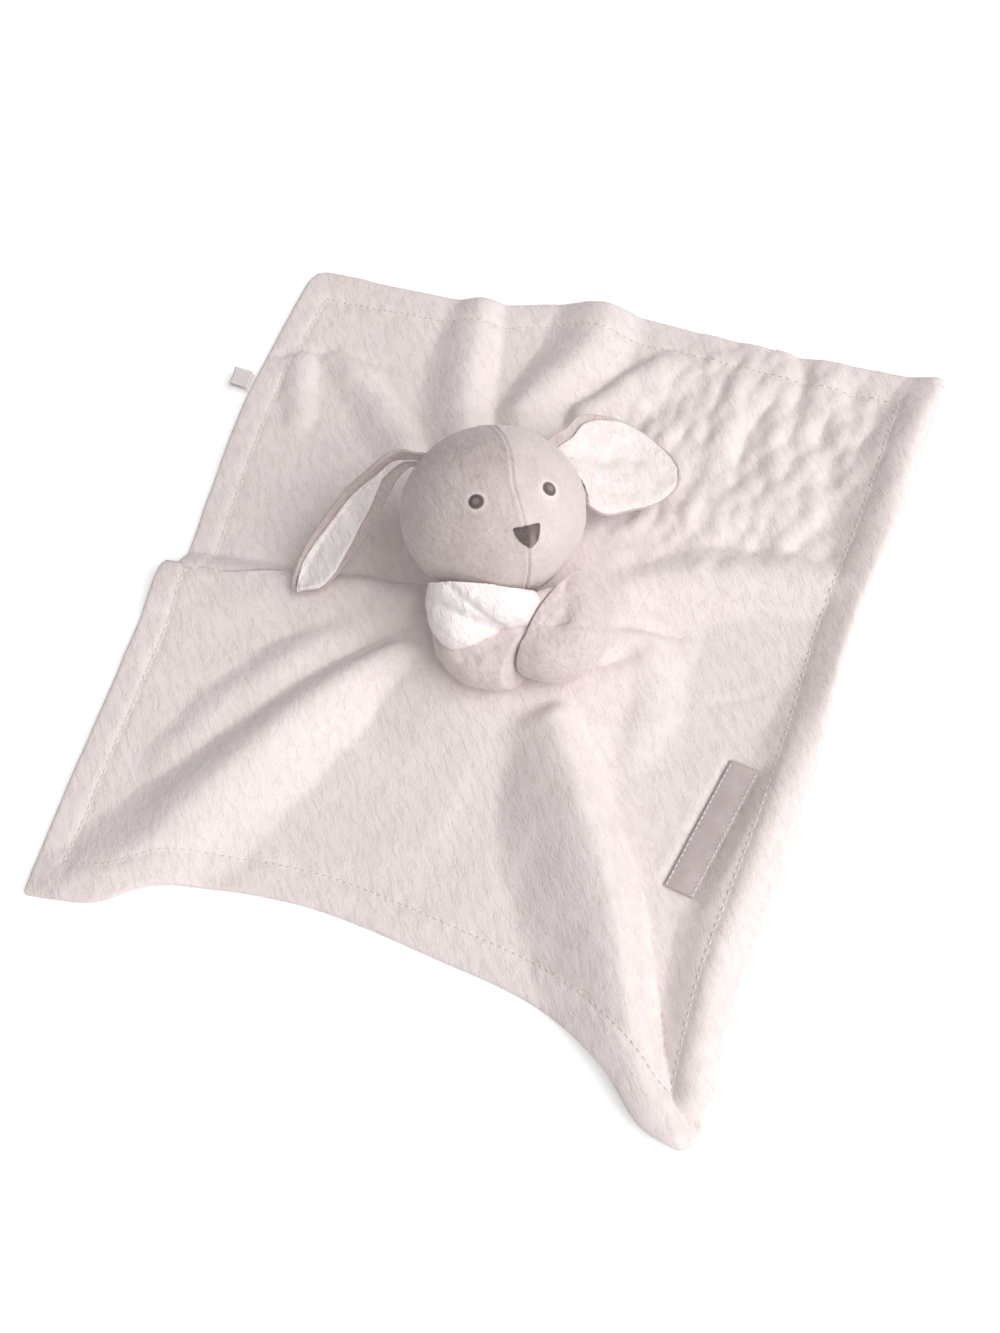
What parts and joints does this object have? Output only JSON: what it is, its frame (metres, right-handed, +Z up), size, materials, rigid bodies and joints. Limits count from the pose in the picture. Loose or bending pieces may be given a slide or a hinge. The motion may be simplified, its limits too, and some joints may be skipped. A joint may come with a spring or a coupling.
{
  "type": "comfort blanket",
  "caption": "Square plush blanket lying in soft folds, with a stuffed puppy's head, floppy ears and arms gathered at its middle.",
  "frame": {"origin": "middle of the bounding box's base, on the table that the blanket lies on", "axes": "+Z up from the table, the puppy faces -Y and its own left side is at +X"},
  "size_m": [0.4722, 0.492, 0.0893],
  "materials": {
    "fleece": "short-pile plush, pale warm pink",
    "plush": "long-pile plush lining, off-white",
    "velour": "velour, taupe",
    "thread": "satin-stitched embroidery, dark brown",
    "ribbon": "woven satin, grey",
    "filling": "polyester stuffing, white"
  },
  "bodies": {
    "blanket": {"blanket": "fleece", "label_patch": "ribbon"},
    "tag": {"care_tag": "ribbon"},
    "neck": {"neck_gather": "velour"},
    "head": {"head_cover_left": "velour", "head_cover_right": "velour", "head_filling": "filling", "eye_left": "thread", "eye_right": "thread", "nose": "thread"},
    "ear_right": {"ear_right_back": "velour", "ear_right_lining": "plush"},
    "ear_left": {"ear_left_back": "velour", "ear_left_lining": "plush"},
    "arm_right": {"arm_right_cover": "velour", "arm_right_lining": "plush", "arm_right_filling": "filling"},
    "arm_left": {"arm_left_cover": "velour", "arm_left_lining": "plush", "arm_left_filling": "filling"}
  },
  "joints": [
    {"name": "head_turn", "type": "hinge", "parent": "blanket", "child": "neck", "pos_m": [0.01472, 0.00137, 0.02749], "axis": [0, 0, 1], "range_deg": [-10, 10]},
    {"name": "head_nod", "type": "hinge", "parent": "neck", "child": "head", "pos_m": [0.01472, 0.00137, 0.02749], "axis": [0.9585, 0.036, -0.2828], "range_deg": [-2, 6]},
    {"name": "ear_right_lift", "type": "hinge", "parent": "head", "child": "ear_right", "pos_m": [0.00119, 0.05542, 0.06664], "axis": [0, 1, 0], "range_deg": [0, 70]},
    {"name": "ear_left_lift", "type": "hinge", "parent": "head", "child": "ear_left", "pos_m": [0.05492, 0.04298, 0.04412], "axis": [-0.8639, -0.4319, 0.2592], "range_deg": [0, 60]},
    {"name": "arm_right_lift", "type": "hinge", "parent": "blanket", "child": "arm_right", "pos_m": [-0.00007, 0.00702, 0.02346], "axis": [0.3678, 0.5068, 0.7797], "range_deg": [-25, 0]},
    {"name": "arm_left_lift", "type": "hinge", "parent": "blanket", "child": "arm_left", "pos_m": [0.02676, 0.0047, 0.01794], "axis": [-0.4895, 0.8692, 0.0699], "range_deg": [0, 35]},
    {"name": "care_tag_flip", "type": "hinge", "parent": "blanket", "child": "tag", "pos_m": [-0.06195, 0.18968, 0.00462], "axis": [0.5879, 0.8089, 0], "range_deg": [0, 70]}
  ]
}
